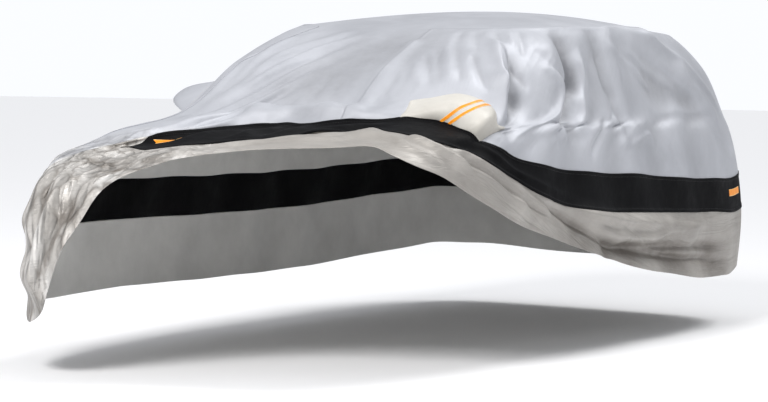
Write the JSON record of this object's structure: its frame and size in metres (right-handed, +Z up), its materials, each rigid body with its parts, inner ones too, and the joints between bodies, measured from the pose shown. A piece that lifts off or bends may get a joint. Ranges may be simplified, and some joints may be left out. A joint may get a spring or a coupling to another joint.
{
  "type": "car cover",
  "caption": "Fitted silver cloth cover in the draped shape of a hatchback, hollow below, with a black band, two mirror pockets and reflective strips, its hem drawn back off the bonnet.",
  "frame": {"origin": "the hold point, 2 mm under the cloth at the roof's highest place, where the hidden car holds the cover up", "axes": "+Z up, -Y towards the nose of the hidden car, +X towards its left side"},
  "size_m": [1.8694, 4.2575, 1.3069],
  "materials": {
    "silver_cloth": "silver-coated cloth, soft sheen",
    "warm_silver_cloth": "silver-coated cloth, soft sheen",
    "black_cloth": "matt woven",
    "pocket_cloth": "silver-coated cloth, soft sheen",
    "orange_tape": "reflective tape"
  },
  "bodies": {
    "root": {"top_centre": "silver_cloth", "side_left": "silver_cloth", "side_right": "silver_cloth", "band_black": "black_cloth", "skirt_silver": "warm_silver_cloth", "pocket_left": "pocket_cloth", "pocket_right": "pocket_cloth", "stripe_upper": "orange_tape", "stripe_lower": "orange_tape", "tab_front": "orange_tape", "tab_rear": "orange_tape"}
  },
  "joints": []
}
